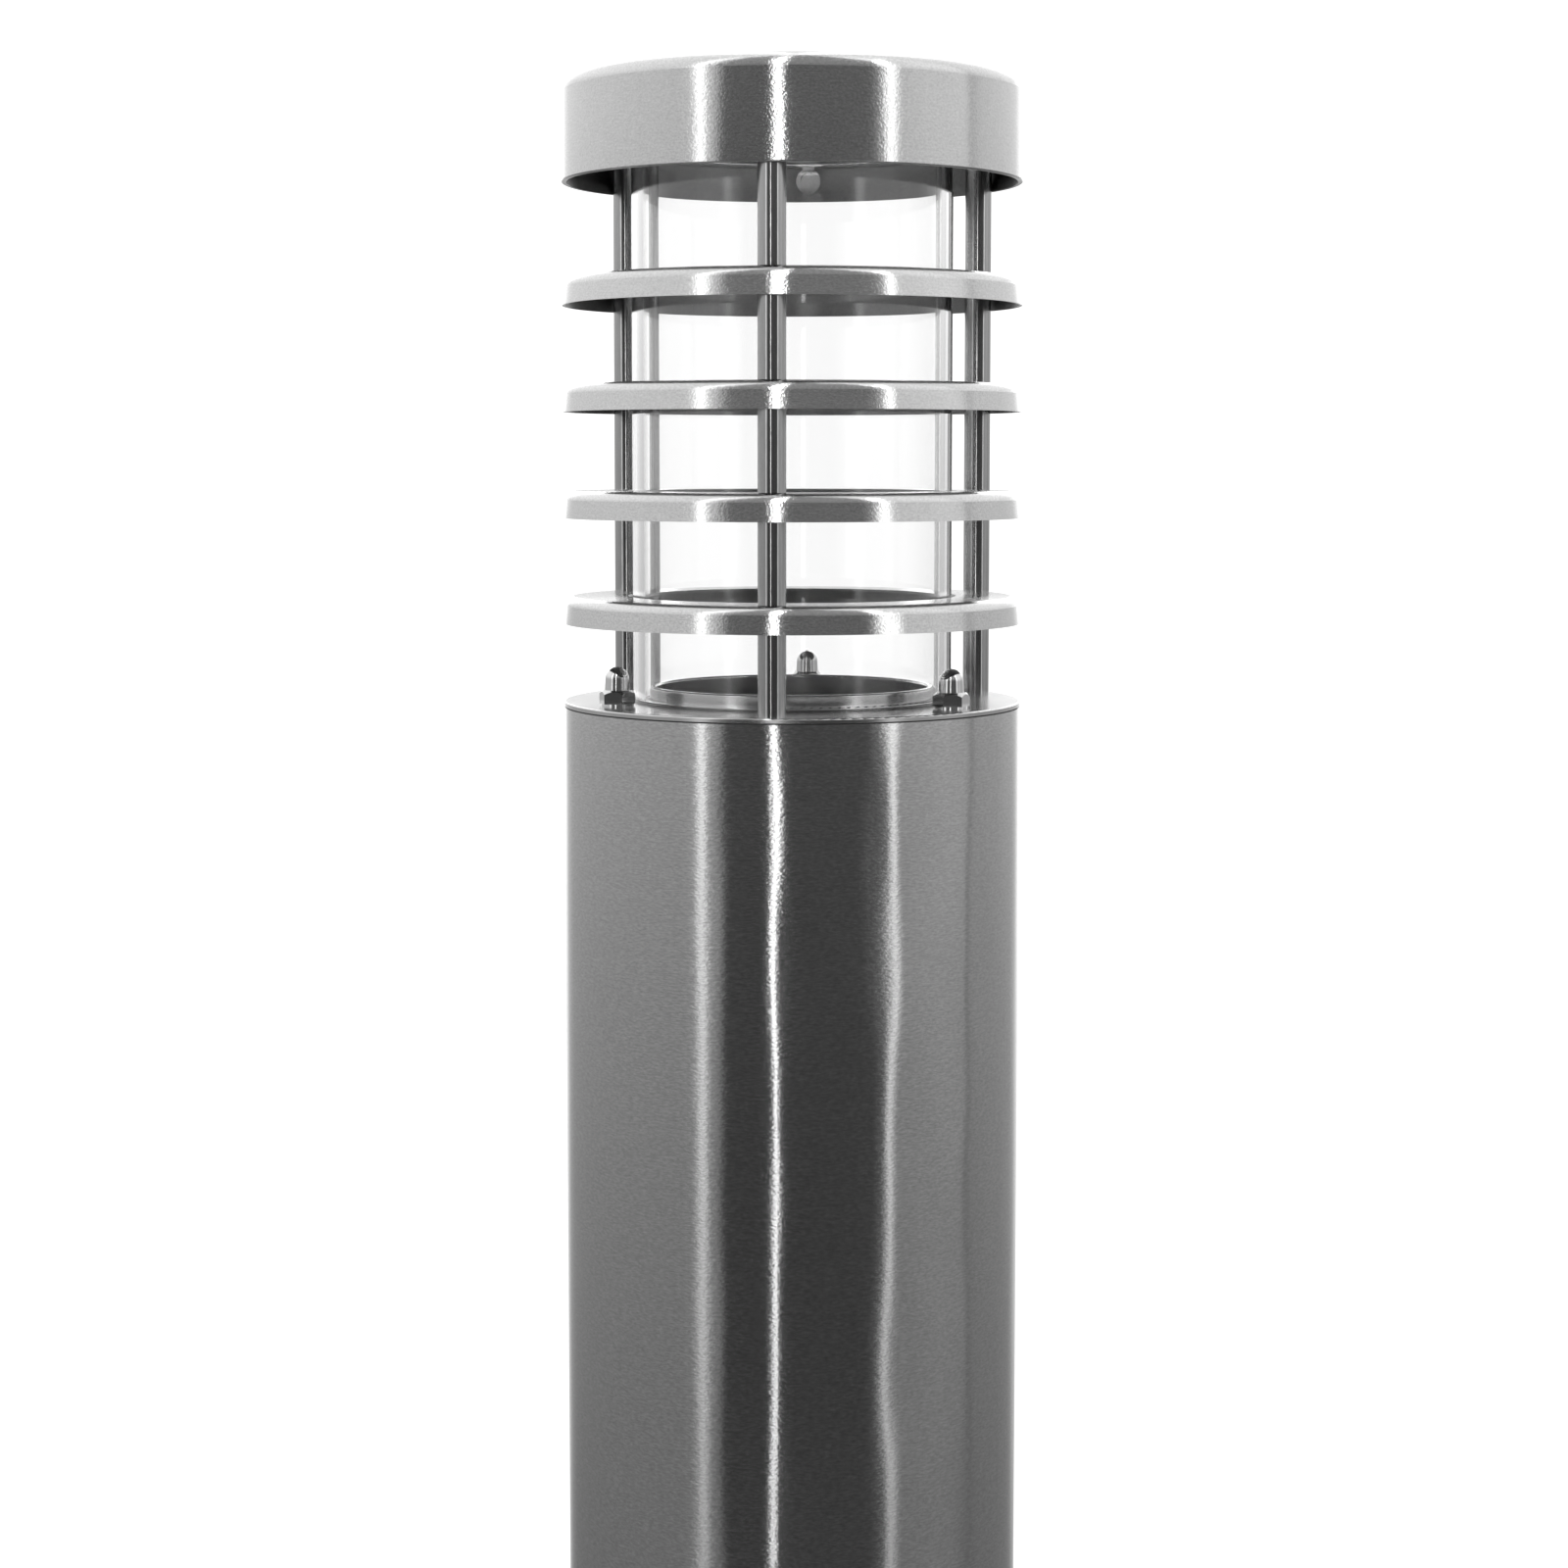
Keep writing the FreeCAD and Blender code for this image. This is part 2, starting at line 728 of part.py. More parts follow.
def make_holder_bracket():
    """The U-shaped strap under the support ring, with a level web for the lampholder."""
    half = "bracket_width / 2"
    web = box(
        "bracket_web", "2 * bracket_reach", "bracket_width", "bracket_sheet",
        "-bracket_reach", f"-{half}", WEB_FOOT,
    )
    pieces = [web]
    for side, x_leg, x_ear in (
        ("left", "-bracket_reach", "-bracket_reach - bracket_ear"),
        ("right", "bracket_reach - bracket_sheet", "bracket_reach - bracket_sheet"),
    ):
        leg = box(
            f"bracket_leg_{side}", "bracket_sheet", "bracket_width", f"{BRACKET_TOP} - {WEB_FOOT}",
            x_leg, f"-{half}", WEB_FOOT,
        )
        ear = box(
            f"bracket_ear_{side}", "bracket_ear + bracket_sheet", "bracket_width", "bracket_sheet",
            x_ear, f"-{half}", f"{BRACKET_TOP} - bracket_sheet",
        )
        pieces += [leg, ear]
    strap = fuse("bracket_strap", *pieces)
    holes = []
    for side in (-1, 1):
        tag = side + 2
        screw_hole = "m4_clearance / 2"
        at_ear = (f"{side} * nut_circle / 2", "0", f"{BRACKET_TOP} - 5")
        at_screw = (f"{side} * holder_screw_offset", "0", f"{WEB_FOOT} - 3")
        at_lead = (f"{side} * lead_way_offset", "lead_way_offset", f"{WEB_FOOT} - 3")
        holes.append(cylinder(f"ear_hole_{tag}", screw_hole, "9", *at_ear))
        holes.append(cylinder(f"holder_hole_{tag}", screw_hole, "9", *at_screw))
        holes.append(cylinder(f"lead_hole_{tag}", "lead_hole / 2", "9", *at_lead))
    sub_part(cut("holder_bracket", strap, *holes), "holder_bracket")


def make_bracket_screws():
    """Two screws from below that hold the strap's ears to the support ring."""
    screws = []
    for side in (-1, 1):
        screw = pan_screw(
            f"bracket_screw_{side + 2}", "m4_thread", "bracket_sheet + support_sheet - 0.1",
            f"{side} * nut_circle / 2", "0", f"{BRACKET_TOP} - bracket_sheet", down=False,
        )
        screws.append(screw)
    sub_part(group("bracket_screws", *screws), "bracket_screws")


def make_lampholder_body():
    """The glazed ceramic body: a stepped outside and a deep well for the screw shell."""
    outer = "holder_diameter / 2"
    foot = f"{outer} - holder_step"
    well = "shell_diameter / 2 + shell_gap"
    well_floor = "holder_height - shell_length - well_under_shell"
    outline = [
        ("0", "0"),
        (foot, "0"),
        (foot, "holder_step_height"),
        (outer, "holder_cone_height"),
        (outer, "holder_height"),
        (well, "holder_height"),
        (well, well_floor),
        ("0", well_floor),
    ]
    rounds = [
        (outer, "holder_height", "holder_round"),
        (foot, "0", "holder_foot_round"),
    ]
    body = place(revolved("lampholder_blank", outline, rounds), z=HOLDER_FOOT)
    tools = []
    for side in (-1, 1):
        tag = side + 2
        at_screw = (f"{side} * holder_screw_offset", "0", f"{HOLDER_FOOT} - 1")
        at_lead = (f"{side} * lead_way_offset", "lead_way_offset", f"{HOLDER_FOOT} - 1")
        tools.append(cylinder(f"holder_thread_{tag}", "holder_thread / 2", "7", *at_screw))
        tools.append(cylinder(f"holder_lead_way_{tag}", "lead_way / 2", "8", *at_lead))
    sub_part(cut("lampholder_body", body, *tools), "lampholder_body")


def make_lampholder_shell():
    """The plain metal sleeve that the lamp screws into, with a lip at its mouth."""
    outer = "shell_diameter / 2"
    inner = f"{outer} - shell_wall"
    floor = "holder_top - shell_length - 1"
    wall = tube("shell_wall_tube", outer, inner, "shell_length", floor)
    lip = tube("shell_lip", f"{outer} + shell_gap", inner, "1", f"{floor} + shell_length - 1")
    sub_part(fuse("lampholder_shell", wall, lip), "lampholder_shell")


def make_centre_contact():
    """The sprung contact strip at the bottom of the well, with a raised button."""
    floor = "holder_top - shell_length - well_under_shell"
    button_foot = f"{floor} + contact_sheet / 2"
    strip = box(
        "contact_strip", "contact_length", "contact_width", "contact_sheet",
        "-contact_length / 2", "-contact_width / 2", floor,
    )
    button = cylinder(
        "contact_button", "contact_button / 2", "contact_button_height", "0", "0", button_foot,
    )
    sub_part(fuse("centre_contact", strip, button), "centre_contact")


def make_lampholder_screws():
    """Two screws up through the strap's web into the lampholder."""
    screws = []
    for side in (-1, 1):
        screw = pan_screw(
            f"lampholder_screw_{side + 2}", "holder_thread", "6",
            f"{side} * holder_screw_offset", "0", WEB_FOOT, down=False,
        )
        screws.append(screw)
    sub_part(group("lampholder_screws", *screws), "lampholder_screws")


# ---------------------------------------------------------------- the head


def make_head_base_plate():
    """The polished plate, flush with the post, that the head is built on."""
    opening = "collar_diameter / 2 - collar_wall"
    outline = [
        (opening, "0"),
        (POST_RADIUS, "0"),
        (POST_RADIUS, "plate_sheet"),
        (opening, "plate_sheet"),
    ]
    rounds = [(POST_RADIUS, "plate_sheet", "plate_edge_round")]
    body = place(revolved("head_base_plate", outline, rounds), z=PLATE_FOOT)
    drill(body, "plate_stud_holes", "nut_circle", "stud_clearance", NUT_ANGLES["right"])
    drill(body, "plate_rod_holes", "rod_circle", "rod_diameter", ROD_ANGLES["front"])
    sub_part(body, "head_base_plate")


def make_locating_collar():
    """The low collar on the plate, inside the diffuser."""
    outer = "collar_diameter / 2"
    inner = f"{outer} - collar_wall"
    outline = [(inner, "0"), (outer, "0"), (outer, "collar_height"), (inner, "collar_height")]
    rounds = [(r, "collar_height", "collar_round") for r in (outer, inner)]
    body = place(revolved("locating_collar", outline, rounds), z=PLATE_TOP)
    sub_part(body, "locating_collar")


def make_diffuser():
    """The clear tube and the thin clear gasket at each of its ends."""
    outer = "diffuser_diameter / 2"
    inner = f"{outer} - diffuser_wall"
    foot = f"{PLATE_TOP} + diffuser_gasket"
    height = f"{TOP_PLATE_FOOT} - {PLATE_TOP} - 2 * diffuser_gasket"
    outline = [(inner, "0"), (outer, "0"), (outer, height), (inner, height)]
    rounds = [(r, level, "diffuser_round") for r in (outer, inner) for level in ("0", height)]
    body = place(revolved("diffuser_tube", outline, rounds), z=foot)
    sub_part(body, "diffuser_tube")
    for name, z in (
        ("lower_diffuser_gasket", PLATE_TOP),
        ("upper_diffuser_gasket", f"{TOP_PLATE_FOOT} - diffuser_gasket"),
    ):
        ring = tube(name, f"{outer} - 0.1", f"{inner} + 0.1", "diffuser_gasket", z)
        sub_part(ring, name)


def make_louvre_rings():
    """Four identical pressed rings: a flat annulus, a rounded shoulder and a slightly flared skirt."""
    hole = "louvre_hole / 2"
    shoulder = f"{POST_RADIUS} - louvre_flare"
    inside = f"{shoulder} - louvre_sheet"
    ceiling = "louvre_height - louvre_sheet"
    outline = [
        (hole, "louvre_height"),
        (hole, ceiling),
        (inside, ceiling),
        (f"{POST_RADIUS} - louvre_sheet", "0"),
        (POST_RADIUS, "0"),
        (shoulder, "louvre_height"),
    ]
    rounds = [
        (shoulder, "louvre_height", "louvre_shoulder"),
        (inside, ceiling, "louvre_inner_bend"),
    ]
    for number in range(1, LOUVRES + 1):
        name = f"louvre_ring_{number}"
        body = revolved(name, outline, rounds)
        place(body, z=f"{PLATE_TOP} + {number} * louvre_pitch - louvre_height")
        drill(body, f"rod_holes_{number}", "rod_circle", "rod_diameter", ROD_ANGLES["front"])
        sub_part(body, name)


def make_rods():
    """Three tie rods, with a column of spacer sleeves over each."""
    foot = PLATE_FOOT
    top = f"{TOP_PLATE_TOP} + rod_nut_height + rod_nut_overrun"
    for side, angle in ROD_ANGLES.items():
        x, y = around("rod_circle", angle)
        rod = cylinder(f"tie_rod_{side}", "rod_diameter / 2", f"{top} - {foot}", x, y, foot)
        sub_part(rod, f"tie_rod_{side}")
        for number in range(1, LOUVRES + 2):
            z = f"{PLATE_TOP} + {number - 1} * louvre_pitch"
            ceiling = TOP_PLATE_FOOT
            if number <= LOUVRES:
                ceiling = f"({PLATE_TOP} + {number} * louvre_pitch - louvre_sheet)"
            make_spacer(f"spacer_{side}_{number}", x, y, z, f"{ceiling} - ({z})")


def make_spacer(name, x, y, z, height):
    """A sleeve with its upper rim chamfered, to clear the bend of the ring above it."""
    outer = "spacer_diameter / 2"
    outline = [
        ("spacer_bore / 2", "0"),
        (outer, "0"),
        (outer, f"{height} - spacer_chamfer"),
        (f"{outer} - spacer_chamfer", height),
        ("spacer_bore / 2", height),
    ]
    sub_part(place(revolved(name, outline), x, y, z), name)


def make_head_top_plate():
    """The plate inside the cap, held down by the tie rod nuts."""
    rim = f"{POST_RADIUS} - cap_sheet - cap_hem - fit_gap"
    outline = [("0", "0"), (rim, "0"), (rim, "top_plate_sheet"), ("0", "top_plate_sheet")]
    disc = place(revolved("top_plate_disc", outline), z=TOP_PLATE_FOOT)
    drill(disc, "top_plate_rod_holes", "rod_circle", "rod_diameter", ROD_ANGLES["front"])
    sub_part(disc, "head_top_plate")


def make_tie_rod_nuts():
    """Three plain nuts on the tie rods, on the plate inside the cap, a flat of each facing outwards."""
    nuts = []
    for side, angle in ROD_ANGLES.items():
        x, y = around("rod_circle", angle)
        blank = hexagon(
            f"rod_nut_blank_{side}", "rod_nut_across_flats", "rod_nut_height",
            x, y, TOP_PLATE_TOP, angle + 30,
        )
        bore = cylinder(
            f"rod_nut_bore_{side}", "rod_diameter / 2", "rod_nut_height + 2",
            x, y, f"{TOP_PLATE_TOP} - 1",
        )
        nuts.append(cut(f"rod_nut_{side}", blank, bore))
    sub_part(group("tie_rod_nuts", *nuts), "tie_rod_nuts")


def make_cap():
    """The deep-drawn cap: a rounded shoulder, a hemmed rim and a screw hole at the rear."""
    outside = POST_RADIUS
    inside = f"{POST_RADIUS} - cap_sheet"
    hem = f"{inside} - cap_hem"
    ceiling = "cap_height - cap_sheet"
    outline = [
        ("0", "cap_height"),
        ("0", ceiling),
        (inside, ceiling),
        (inside, "cap_hem_height"),
        (hem, "cap_hem_height"),
        (hem, "0"),
        (outside, "0"),
        (outside, "cap_height"),
    ]
    rounds = [
        (outside, "cap_height", "cap_shoulder"),
        (inside, ceiling, "cap_shoulder - cap_sheet"),
        (outside, "0", "cap_rim_round"),
    ]
    body = place(revolved("cap_blank", outline, rounds), z=CAP_RIM)
    hole = radial("cap_screw_hole", "m4_clearance / 2", "45", "10", NUT_ANGLES["rear"], BUSH_LEVEL)
    sub_part(cut("cap", body, hole), "cap")


def make_cap_screw():
    """The rear button-head screw and its threaded bush, which hangs from the plate by a short stem."""
    rear = NUT_ANGLES["rear"]
    thread = "m4_thread / 2"
    barrel = radial(
        "bush_barrel", "bush_diameter / 2", BUSH_INNER_END, "bush_length", rear, BUSH_LEVEL,
    )
    stem = box(
        "bush_stem", "bush_stem", "bush_stem", f"{TOP_PLATE_FOOT} - {BUSH_LEVEL}",
        "-bush_stem / 2", f"({BUSH_INNER_END} + {BUSH_OUTER_END} - bush_stem) / 2", BUSH_LEVEL,
    )
    bore = radial("bush_bore", thread, f"{BUSH_INNER_END} - 1", "bush_length + 2", rear, BUSH_LEVEL)
    sub_part(cut("cap_screw_bush", fuse("bush_blank", barrel, stem), bore), "cap_screw_bush")
    tip = f"{BUSH_INNER_END} + 1"
    shank = radial("cap_shank", thread, tip, f"{POST_RADIUS} + 0.4 - ({tip})", rear, BUSH_LEVEL)
    head = button_head(
        "cap_screw_head", "cap_head_radius", "cap_head_height", POST_RADIUS, rear, BUSH_LEVEL,
    )
    sub_part(fuse("cap_screw", shank, head), "cap_screw")


def make_cap_nuts():
    """Three domed nuts, chamfered and slightly tapered to the dome, with their washers."""
    dome = "nut_dome / 2"
    shoulder = "nut_height - nut_dome / 2"
    for side, angle in NUT_ANGLES.items():
        x, y = around("nut_circle", angle)
        washer = tube(
            f"nut_washer_{side}", "washer_diameter / 2", "washer_bore / 2", "washer_sheet",
            PLATE_TOP, x, y,
        )
        sub_part(washer, f"nut_washer_{side}")
        foot = f"{PLATE_TOP} + washer_sheet"
        turn = NUT_TURNS[side]
        hexed = hexagon(f"nut_hex_{side}", "nut_across_flats", "nut_hex_height", x, y, foot, turn)
        chamfer = cone(
            f"nut_chamfer_{side}", "nut_across_flats / 2 - nut_chamfer + nut_hex_height",
            "nut_across_flats / 2 - nut_chamfer / 2", "nut_hex_height", x, y, foot,
        )
        chamfered = doc.addObject("Part::Common", f"nut_base_{side}")
        chamfered.Base = hexed
        chamfered.Tool = chamfer
        neck = cone(f"nut_neck_{side}", "nut_neck / 2", dome, shoulder, x, y, foot)
        ball = bind(doc.addObject("Part::Sphere", f"nut_ball_{side}"), Radius=dome)
        place(ball, x, y, f"{foot} + {shoulder}")
        blank = fuse(f"nut_blank_{side}", chamfered, neck, ball)
        bore = cylinder(
            f"nut_bore_{side}", "nut_bore / 2", "nut_bore_depth + 1", x, y, f"{foot} - 1",
        )
        sub_part(cut(f"cap_nut_{side}", blank, bore), f"cap_nut_{side}")


# ---------------------------------------------------------------- build, check, write


def check_document():
    """Stop if any object failed, or any sub-part is not a sound shape."""
    for thing in doc.Objects:
        if "Invalid" in thing.State or "Error" in thing.State:
            raise RuntimeError(f"{thing.Name} failed: {thing.State}")
    for thing in sub_parts:
        shape = thing.Shape
        if shape.isNull() or not shape.isValid() or not shape.Solids:
            raise RuntimeError(f"{thing.Label} is not a valid solid")


def main():
    make_base_flange()
    make_base_spigot()
    make_post_tube()
    make_post_screws()
    make_cable_grommet()
    make_terminal_bracket()
    make_terminal_bracket_screw()
    make_terminal_block()
    make_terminal_screws()
    make_earth_screw()
    make_leads()
    make_support_ring()
    make_head_studs()
    make_post_gasket()
    make_holder_bracket()
    make_bracket_screws()
    make_lampholder_body()
    make_lampholder_shell()
    make_centre_contact()
    make_lampholder_screws()
    make_head_base_plate()
    make_locating_collar()
    make_diffuser()
    make_louvre_rings()
    make_rods()
    make_head_top_plate()
    make_tie_rod_nuts()
    make_cap()
    make_cap_screw()
    make_cap_nuts()
    doc.recompute()
    check_document()
    os.makedirs("parts", exist_ok=True)
    for thing in sub_parts:
        thing.Shape.exportStep(os.path.join("parts", thing.Label + ".step"))
    print(len(sub_parts), "sub-parts")


main()
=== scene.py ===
import json
import math

import bpy
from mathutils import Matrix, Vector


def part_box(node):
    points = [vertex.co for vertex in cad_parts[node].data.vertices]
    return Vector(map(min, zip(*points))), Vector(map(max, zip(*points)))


# A bollard light in brushed stainless steel. The CAD nodes keep their shapes; this script gives
# each material slot its finish and sets up the studio. Metres, +Z up, the front rod towards -Y.

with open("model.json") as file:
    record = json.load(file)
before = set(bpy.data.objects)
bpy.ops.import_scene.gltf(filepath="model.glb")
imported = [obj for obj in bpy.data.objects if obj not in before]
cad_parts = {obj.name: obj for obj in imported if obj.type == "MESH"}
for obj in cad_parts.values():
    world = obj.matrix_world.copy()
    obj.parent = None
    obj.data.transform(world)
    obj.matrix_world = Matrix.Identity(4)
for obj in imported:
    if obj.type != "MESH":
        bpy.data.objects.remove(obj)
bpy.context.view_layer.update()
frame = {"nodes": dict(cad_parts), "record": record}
scene = bpy.context.scene

# ---------------------------------------------------------------- node helpers


class Shader:
    """A small builder for one node tree."""

    def __init__(self, tree):
        self.nodes = tree.nodes
        self.links = tree.links

    def add(self, kind, inputs=None, **settings):
        """Add a node, set its properties, and set or link its inputs."""
        node = self.nodes.new(kind)
        for name, setting in settings.items():
            setattr(node, name, setting)
        self.feed(node, inputs or {})
        return node

    def feed(self, node, inputs):
        """Set or link each named or numbered input of a node."""
        for name, source in inputs.items():
            socket = node.inputs[name]
            if isinstance(source, bpy.types.NodeSocket):
                self.links.new(source, socket)
            else:
                socket.default_value = source

    def place(self):
        """The point's own place on the part, in metres."""
        return self.add("ShaderNodeTexCoord").outputs["Object"]

    def maths(self, operation, first, second=0.0):
        """One Math node's output."""
        return self.add("ShaderNodeMath", {0: first, 1: second}, operation=operation).outputs[0]

    def ramp(self, factor, stops):
        """A colour ramp's output; each stop is (position, grey level or colour)."""
        node = self.add("ShaderNodeValToRGB", {"Fac": factor})
        band = node.color_ramp
        while len(band.elements) < len(stops):
            band.elements.new(1.0)
        for element, (position, level) in zip(band.elements, stops):
            element.position = position
            element.color = colour(level)
        return node.outputs["Color"]

    def span(self, factor, low, high, low_at=0.0, high_at=1.0):
        """A factor mapped to a range, held at its ends."""
        inputs = {
            "Value": factor, "From Min": low_at, "From Max": high_at, "To Min": low, "To Max": high,
        }
        return self.add("ShaderNodeMapRange", inputs).outputs["Result"]

    def blend(self, factor, first, second):
        """Two values mixed by a factor."""
        inputs = {"Factor": factor, "A": first, "B": second}
        return self.add("ShaderNodeMix", inputs).outputs["Result"]

    def noise(self, vector, scale=1.0, detail=2.0, roughness=0.5):
        """A noise texture's grey output."""
        inputs = {"Vector": vector, "Scale": scale, "Detail": detail, "Roughness": roughness}
        return self.add("ShaderNodeTexNoise", inputs).outputs["Fac"]

    def bump(self, height, distance, normal=None):
        """A bump of a height in metres, on top of an earlier one."""
        inputs = {"Height": height, "Distance": distance, "Strength": 1.0}
        if normal is not None:
            inputs["Normal"] = normal
        return self.add("ShaderNodeBump", inputs).outputs["Normal"]


def colour(level):
    """A grey level or an RGB triple as a colour with full alpha."""
    rgb = (level, level, level) if isinstance(level, (int, float)) else level
    return (*rgb, 1.0)


def new_material(name):
    """A material with one Principled shader; returns it with its shader and builder."""
    material = bpy.data.materials.new(name)
    material.use_nodes = True
    shader = material.node_tree.nodes["Principled BSDF"]
    return material, shader, Shader(material.node_tree)


def around_axis(build, along, across):
    """Coordinates that run round the post's axis.

    along is how fast the texture changes round the axis, per radian; across how fast it changes
    along a profile, per metre. The circle has no seam."""
    parts = build.add("ShaderNodeSeparateXYZ", {0: build.place()}).outputs
    flat = build.add("ShaderNodeCombineXYZ", {"X": parts["X"], "Y": parts["Y"]}).outputs[0]
    radius = build.add("ShaderNodeVectorMath", {0: flat}, operation="LENGTH").outputs["Value"]
    outward = build.add("ShaderNodeVectorMath", {0: flat}, operation="NORMALIZE").outputs[0]
    turned = build.add("ShaderNodeVectorMath", {0: outward, "Scale": along}, operation="SCALE")
    turned = build.add("ShaderNodeSeparateXYZ", {0: turned.outputs[0]}).outputs
    profile = build.maths("SUBTRACT", parts["Z"], radius)
    height = build.maths("MULTIPLY", profile, across)
    inputs = {"X": turned["X"], "Y": turned["Y"], "Z": height}
    return build.add("ShaderNodeCombineXYZ", inputs).outputs[0]


# ---------------------------------------------------------------- materials

HEAD_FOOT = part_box("head_base_plate")[0][2]

# Heights of the surface marks, in metres.
WAVE_HEIGHT = 0.0006
SCRATCH_HEIGHT = 0.00002
HAIRLINE_HEIGHT = 0.000004
TURNING_HEIGHT = 0.000008
DRAWING_HEIGHT = 0.000003
MOULDED_GRAIN_HEIGHT = 0.00002

# The tube's waves grow stronger on the side that faces this bearing, between these distances from
# the axis.
WAVY_BEARING = math.radians(33)
WAVY_SIDE = (math.sin(WAVY_BEARING), -math.cos(WAVY_BEARING), 0.0)
WAVES_FROM = 0.030
WAVES_TO = 0.050

# Where a pressing faces the axis or the ground: a painted shade that darkens its tone against the
# outside's, and its roughness as an unbrushed inside.
INSIDE_PAINTED_SHADE = 0.55
DULL_ROUGHNESS = 0.42

ACRYLIC_IOR = 1.49


def facing_inwards(build):
    """1 where a surface faces the axis or the ground; the colour is darkened there as painted shade,
    and the finish is made rougher.
    """
    inputs = {0: build.place(), 1: (1.0, 1.0, 0.0)}
    level = build.add("ShaderNodeVectorMath", inputs, operation="MULTIPLY")
    outward = build.add("ShaderNodeVectorMath", {0: level.outputs[0]}, operation="NORMALIZE")
    normal = build.add("ShaderNodeNewGeometry").outputs["True Normal"]
    inputs = {0: normal, 1: outward.outputs[0]}
    facing_out = build.add("ShaderNodeVectorMath", inputs, operation="DOT_PRODUCT").outputs["Value"]
    facing_up = build.add("ShaderNodeSeparateXYZ", {0: normal}).outputs["Z"]
    inside = build.maths("MULTIPLY", build.maths("MINIMUM", facing_out, facing_up), -1.0)
    return build.span(inside, 0.0, 1.0, low_at=0.35, high_at=0.65)


def brushed_steel():
    """Stainless steel brushed round the axis: short fine scratches on the post, a rounder satin
    grain on the head, and a rolled tube's slight waves, strongest towards the front's right. Where
    it faces the axis or the ground, its colour is darkened by painted shade and its finish is
    rougher."""
    material, shader, build = new_material("brushed_steel")
    place = build.place()
    parts = build.add("ShaderNodeSeparateXYZ", {0: place}).outputs
    on_head = build.maths("GREATER_THAN", parts["Z"], HEAD_FOOT)
    scratch = build.noise(around_axis(build, 45.0, 2200.0), detail=2.0, roughness=0.6)
    satin = build.noise(around_axis(build, 90.0, 2000.0), detail=2.0, roughness=0.6)
    grain = build.blend(on_head, scratch, satin)
    hairlines = build.noise(around_axis(build, 16.0, 3600.0), detail=2.0)
    waves = build.noise(around_axis(build, 3.4, 17.0), detail=1.0)
    wavy_side = build.add(
        "ShaderNodeVectorMath", {0: place, 1: WAVY_SIDE}, operation="DOT_PRODUCT",
    ).outputs["Value"]
    height = build.span(wavy_side, 0.15, 1.0, low_at=WAVES_FROM, high_at=WAVES_TO)
    wave = build.bump(build.maths("MULTIPLY", waves, height), WAVE_HEIGHT)
    rough = build.bump(grain, SCRATCH_HEIGHT, wave)
    brush = build.bump(hairlines, HAIRLINE_HEIGHT, rough)
    tone = build.blend(0.75, hairlines, grain)
    tint = build.ramp(tone, [(0.3, 0.55), (0.7, 0.69)])
    # Painted shade: the colour is darkened where the surface faces the axis or the ground.
    inside = facing_inwards(build)
    shade = build.span(inside, 1.0, INSIDE_PAINTED_SHADE)
    painted_shade_tint = build.add("ShaderNodeVectorMath", {0: tint, "Scale": shade}, operation="SCALE")
    gloss = build.span(grain, 0.12, 0.18)
    tangent = build.add("ShaderNodeTangent", direction_type="RADIAL", axis="Z")
    build.feed(shader, {
        "Base Color": painted_shade_tint.outputs[0],
        "Roughness": build.blend(inside, gloss, DULL_ROUGHNESS),
        "Normal": brush,
        "Tangent": tangent.outputs[0],
        "Metallic": 1.0,
        "Anisotropic": 1.0,
        "Anisotropic Rotation": 0.25,
    })
    return material


def polished_steel():
    """Sheet polished nearly to a mirror, with faint turning marks and a few smears."""
    material, shader, build = new_material("polished_steel")
    marks = build.noise(around_axis(build, 4.0, 1500.0), detail=2.0)
    smears = build.noise(build.place(), scale=90.0, detail=3.0)
    build.feed(shader, {
        "Base Color": build.ramp(smears, [(0.3, 0.50), (0.7, 0.60)]),
        "Roughness": build.span(smears, 0.16, 0.27),
        "Normal": build.bump(marks, TURNING_HEIGHT),
        "Metallic": 1.0,
    })
    return material


def drawn_steel(name, base, roughness, grain, smear=0.0):
    """Bright drawn or plated steel with a fine even grain, in lines per metre. roughness is its
    least and most; smear spreads its reflections along Z, as fine turning marks do."""
    material, shader, build = new_material(name)
    inputs = {"Vector": build.place(), "Scale": (grain, grain, grain / 8)}
    stretch = build.add("ShaderNodeMapping", inputs)
    lines = build.noise(stretch.outputs[0], detail=2.0)
    build.feed(shader, {
        "Base Color": build.ramp(lines, [(0.3, base * 0.92), (0.7, base)]),
        "Roughness": build.span(lines, *roughness),
        "Normal": build.bump(lines, HAIRLINE_HEIGHT),
        "Metallic": 1.0,
    })
    if smear:
        upright = build.add("ShaderNodeCombineXYZ", {"Z": 1.0}).outputs[0]
        build.feed(shader, {"Anisotropic": smear, "Tangent": upright})
    return material


def brass():
    """Plain turned brass, slightly dulled."""
    material, shader, build = new_material("brass")
    dulling = build.noise(build.place(), scale=260.0, detail=4.0)
    build.feed(shader, {
        "Base Color": build.ramp(dulling, [(0.3, (0.56, 0.40, 0.16)), (0.7, (0.80, 0.62, 0.30))]),
        "Roughness": build.span(dulling, 0.22, 0.40),
        "Metallic": 1.0,
    })
    return material


def clear_plastic(name, tint, roughness):
    """Clear moulded plastic with faint vertical drawing lines."""
    material, shader, build = new_material(name)
    inputs = {"Vector": build.place(), "Scale": (300.0, 300.0, 8.0)}
    stretch = build.add("ShaderNodeMapping", inputs)
    lines = build.noise(stretch.outputs[0], detail=1.0)
    build.feed(shader, {
        "Base Color": build.ramp(lines, [(0.3, tint), (0.7, tint + 0.01)]),
        "Normal": build.bump(lines, DRAWING_HEIGHT),
        "Roughness": roughness,
        "IOR": ACRYLIC_IOR,
        "Transmission Weight": 1.0,
    })
    return material


